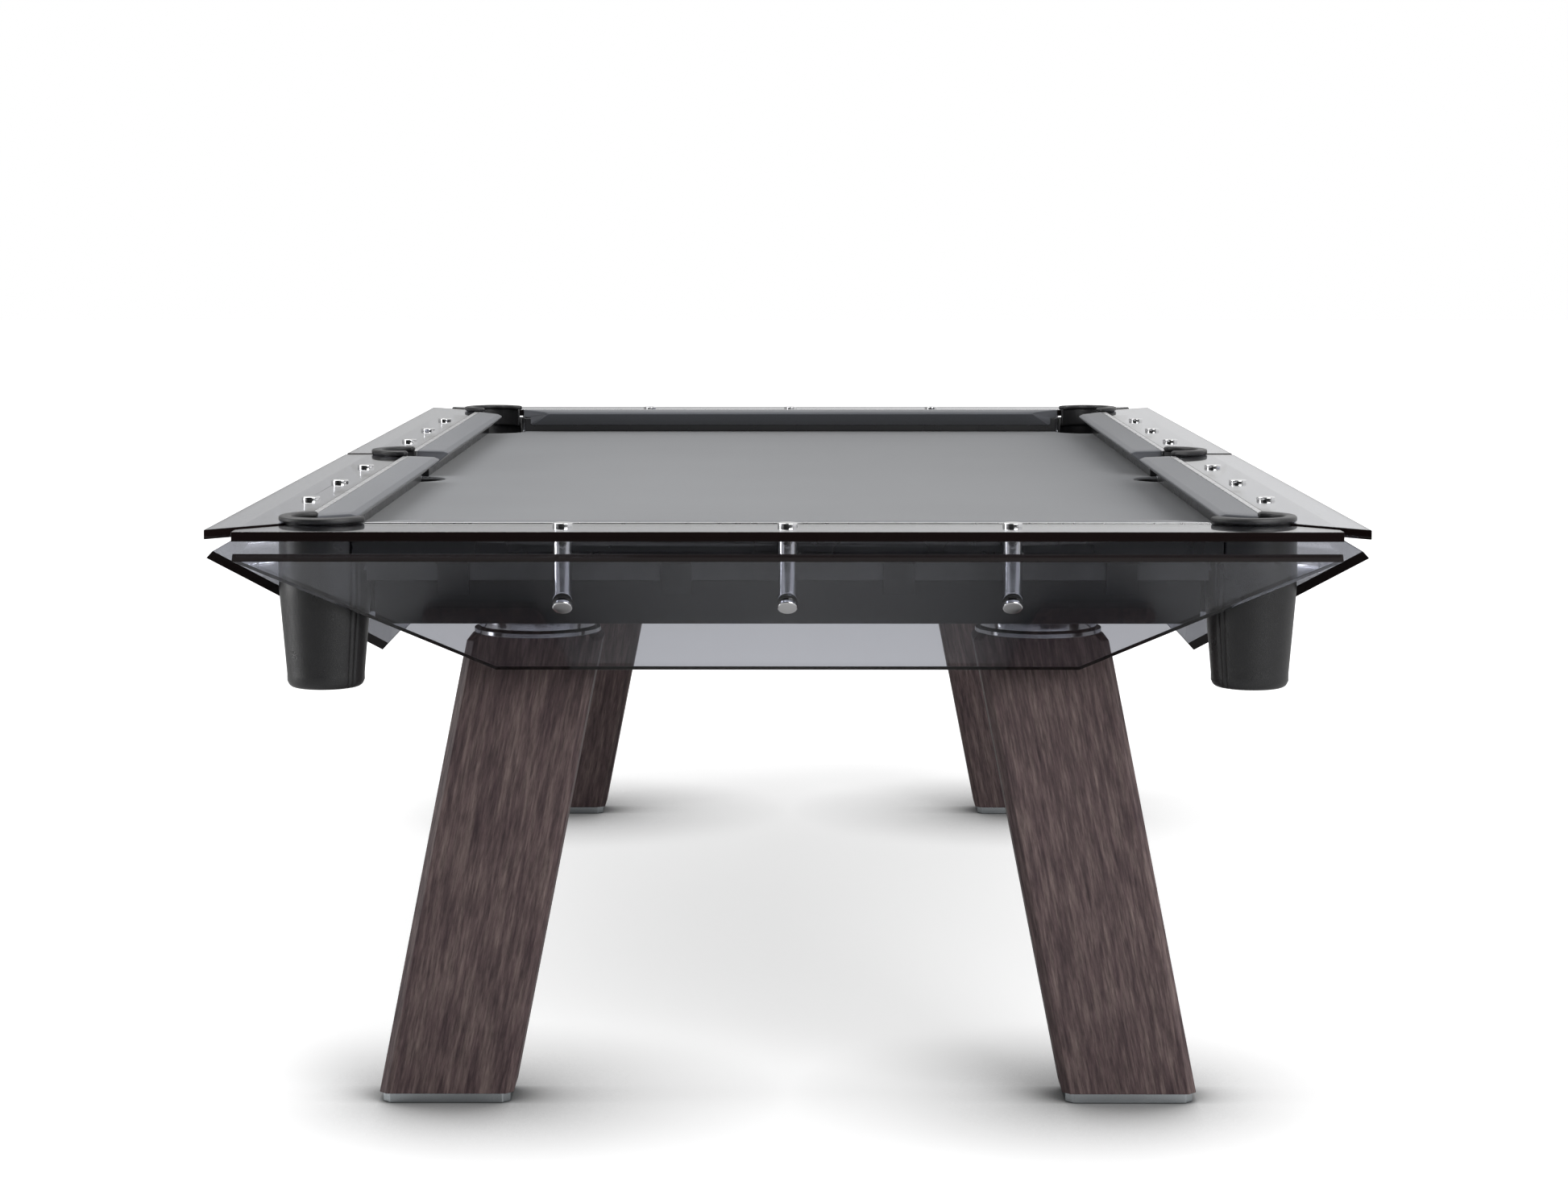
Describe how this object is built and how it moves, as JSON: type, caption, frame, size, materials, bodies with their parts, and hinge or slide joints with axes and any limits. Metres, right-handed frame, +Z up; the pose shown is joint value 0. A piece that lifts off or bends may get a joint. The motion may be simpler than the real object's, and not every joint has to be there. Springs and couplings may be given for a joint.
{
  "type": "pool table",
  "caption": "Pool table with a slate bed in grey cloth, smoked glass rail top and sloping glass skirt, leather pockets and slanted wooden legs with height adjusters.",
  "frame": {"origin": "on the floor below the centre of the table", "axes": "+X across the table to the right, +Y along its length towards the back, +Z up"},
  "size_m": [1.436, 2.576, 0.7798],
  "materials": {
    "smoked_glass": "smoked float glass with polished bevelled edges",
    "chrome": "polished chrome plate",
    "pad_rubber": "soft black rubber",
    "slate": "honed slate with black painted edges",
    "bed_cloth": "worsted wool cloth, plain weave",
    "cushion_cloth": "worsted wool cloth stretched over the cushion rubber",
    "black_rail": "black satin lacquer",
    "trim_aluminium": "satin anodised",
    "black_steel": "black satin paint",
    "pocket_leather": "black grained leather with a stitched seam",
    "leg_wood": "grey-brown stained fine-grained veneer, satin lacquer",
    "foot_steel": "polished steel"
  },
  "bodies": {
    "table_top": {"aprons": "black_rail", "bed_cloth": "bed_cloth", "corner_collars_back": "pocket_leather", "corner_collars_front": "pocket_leather", "cross_beams": "black_rail", "cushion_back": "cushion_cloth", "cushion_front": "cushion_cloth", "cushion_left_back": "cushion_cloth", "cushion_left_front": "cushion_cloth", "cushion_right_back": "cushion_cloth", "cushion_right_front": "cushion_cloth", "end_rails": "black_rail", "glass_pads": "pad_rubber", "leveller_sockets": "chrome", "pocket_cup_back_left": "pocket_leather", "pocket_cup_back_right": "pocket_leather", "pocket_cup_front_left": "pocket_leather", "pocket_cup_front_right": "pocket_leather", "pocket_cup_middle_left": "pocket_leather", "pocket_cup_middle_right": "pocket_leather", "rail_brackets": "black_steel", "rail_studs": "chrome", "side_beams": "black_rail", "side_collars": "pocket_leather", "side_rails": "black_rail", "sight_caps": "chrome", "sight_pillars": "chrome", "skirt_caps": "chrome", "skirt_glass_back": "smoked_glass", "skirt_glass_front": "smoked_glass", "skirt_glass_left_back": "smoked_glass", "skirt_glass_left_front": "smoked_glass", "skirt_glass_right_back": "smoked_glass", "skirt_glass_right_front": "smoked_glass", "slate_back": "slate", "slate_front": "slate", "slate_middle": "slate", "top_glass_back": "smoked_glass", "top_glass_front": "smoked_glass", "top_glass_left_back": "smoked_glass", "top_glass_left_front": "smoked_glass", "top_glass_right_back": "smoked_glass", "top_glass_right_front": "smoked_glass", "trim_strips": "trim_aluminium"},
    "leg_assembly_front_left": {"leg_front_left": "leg_wood", "foot_front_left": "foot_steel", "leveller_stem_front_left": "chrome"},
    "ring_front_left": {"leveller_ring_front_left": "chrome"},
    "leg_assembly_front_right": {"leg_front_right": "leg_wood", "foot_front_right": "foot_steel", "leveller_stem_front_right": "chrome"},
    "ring_front_right": {"leveller_ring_front_right": "chrome"},
    "leg_assembly_back_left": {"leg_back_left": "leg_wood", "foot_back_left": "foot_steel", "leveller_stem_back_left": "chrome"},
    "ring_back_left": {"leveller_ring_back_left": "chrome"},
    "leg_assembly_back_right": {"leg_back_right": "leg_wood", "foot_back_right": "foot_steel", "leveller_stem_back_right": "chrome"},
    "ring_back_right": {"leveller_ring_back_right": "chrome"}
  },
  "joints": [
    {"name": "level_turn_front_left", "type": "hinge", "parent": "table_top", "child": "ring_front_left", "pos_m": [-0.3265, -1.019, 0.635], "axis": [0, 0, 1], "range_deg": [0, 1440]},
    {"name": "level_rise_front_left", "type": "slide", "parent": "table_top", "child": "leg_assembly_front_left", "axis": [0, 0, -1], "range_m": [0, 0.01]},
    {"name": "level_turn_front_right", "type": "hinge", "parent": "table_top", "child": "ring_front_right", "pos_m": [0.3265, -1.019, 0.635], "axis": [0, 0, 1], "range_deg": [0, 1440]},
    {"name": "level_rise_front_right", "type": "slide", "parent": "table_top", "child": "leg_assembly_front_right", "axis": [0, 0, -1], "range_m": [0, 0.01]},
    {"name": "level_turn_back_left", "type": "hinge", "parent": "table_top", "child": "ring_back_left", "pos_m": [-0.3265, 1.019, 0.635], "axis": [0, 0, 1], "range_deg": [0, 1440]},
    {"name": "level_rise_back_left", "type": "slide", "parent": "table_top", "child": "leg_assembly_back_left", "axis": [0, 0, -1], "range_m": [0, 0.01]},
    {"name": "level_turn_back_right", "type": "hinge", "parent": "table_top", "child": "ring_back_right", "pos_m": [0.3265, 1.019, 0.635], "axis": [0, 0, 1], "range_deg": [0, 1440]},
    {"name": "level_rise_back_right", "type": "slide", "parent": "table_top", "child": "leg_assembly_back_right", "axis": [0, 0, -1], "range_m": [0, 0.01]}
  ],
  "couplings": [
    {"joint": "level_rise_front_left", "follows": "level_turn_front_left", "m_per_rad": 0.00039789},
    {"joint": "level_rise_front_right", "follows": "level_turn_front_right", "m_per_rad": 0.00039789},
    {"joint": "level_rise_back_left", "follows": "level_turn_back_left", "m_per_rad": 0.00039789},
    {"joint": "level_rise_back_right", "follows": "level_turn_back_right", "m_per_rad": 0.00039789}
  ]
}
